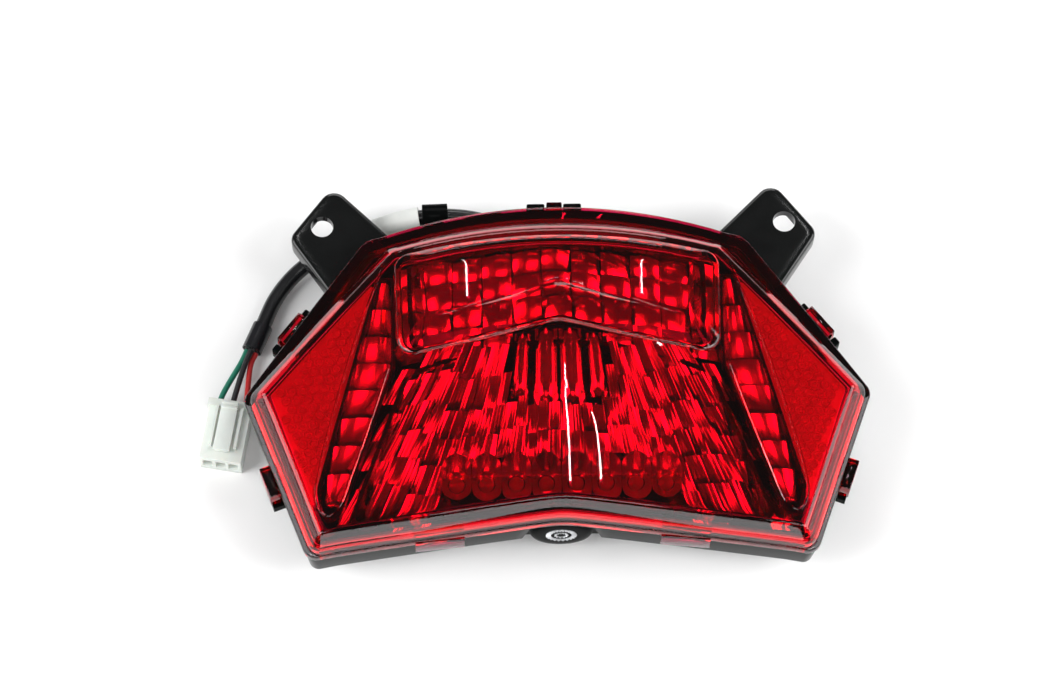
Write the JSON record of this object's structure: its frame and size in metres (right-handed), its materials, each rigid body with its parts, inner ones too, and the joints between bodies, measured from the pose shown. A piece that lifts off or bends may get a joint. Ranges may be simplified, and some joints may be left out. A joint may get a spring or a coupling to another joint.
{
  "type": "motorcycle tail light",
  "caption": "Wide bevelled red tail light with a raised brake window, faceted reflectors, two mounting ears and a short lead ending in a white plug.",
  "frame": {"origin": "on the surface the lamp lies on, under the middle of the lamp without its lead", "axes": "+Z the way the lens faces, +Y towards the mounting ears, +X to the right seen from the lens side"},
  "size_m": [0.2069, 0.1232, 0.0492],
  "materials": {
    "housing": "glossy black, moulded",
    "lens": "clear red acrylic, polished",
    "reflector": "vacuum metallised plastic",
    "reflex": "red prism sheet",
    "seal": "matt black",
    "circuit": "green solder mask",
    "chip": "black epoxy",
    "led": "clear red epoxy",
    "screw": "zinc plated",
    "sheath": "black PVC",
    "sleeve": "white PVC tube",
    "plug": "white nylon",
    "terminal": "tinned",
    "wire_green": "PVC insulation",
    "wire_black": "PVC insulation",
    "wire_red": "PVC insulation"
  },
  "bodies": {
    "lamp": {"board_screw_1": "screw", "board_screw_2": "screw", "board_screw_3": "screw", "board_screw_4": "screw", "brake_led_1": "led", "brake_led_2": "led", "brake_led_3": "led", "brake_led_4": "led", "brake_led_5": "led", "brake_led_6": "led", "brake_led_board": "circuit", "brake_reflector": "reflector", "brake_resistor": "chip", "cable_clip": "housing", "cable_grommet": "seal", "cable_sheath": "sheath", "clip_screw": "screw", "connector_housing": "plug", "fan_reflector": "reflector", "lead_brake": "wire_red", "lead_ground": "wire_black", "lead_tail": "wire_green", "lens_gasket": "seal", "outer_lens": "lens", "rear_housing": "housing", "reflector_screw_1": "screw", "reflector_screw_2": "screw", "reflector_screw_3": "screw", "reflector_screw_4": "screw", "reflex_panel_left": "reflex", "reflex_panel_right": "reflex", "regulator_chip": "chip", "sheath_boot": "sheath", "side_reflector_left": "reflector", "side_reflector_right": "reflector", "tail_led_1": "led", "tail_led_2": "led", "tail_led_3": "led", "tail_led_4": "led", "tail_led_5": "led", "tail_led_6": "led", "tail_led_7": "led", "tail_led_8": "led", "tail_led_board": "circuit", "tail_resistor": "chip", "terminal_1": "terminal", "terminal_2": "terminal", "terminal_3": "terminal", "vent_cap": "seal", "white_sleeve": "sleeve", "wire_black": "wire_black", "wire_green": "wire_green", "wire_red": "wire_red"},
    "latch": {"connector_latch": "plug"}
  },
  "joints": [
    {"name": "latch_hinge", "type": "hinge", "parent": "lamp", "child": "latch", "pos_m": [-0.10221, -0.01027, 0.0101], "axis": [-0.9842, 0.1771, 0], "range_deg": [0, 6], "stiffness_Nm_per_rad": 0.05}
  ]
}
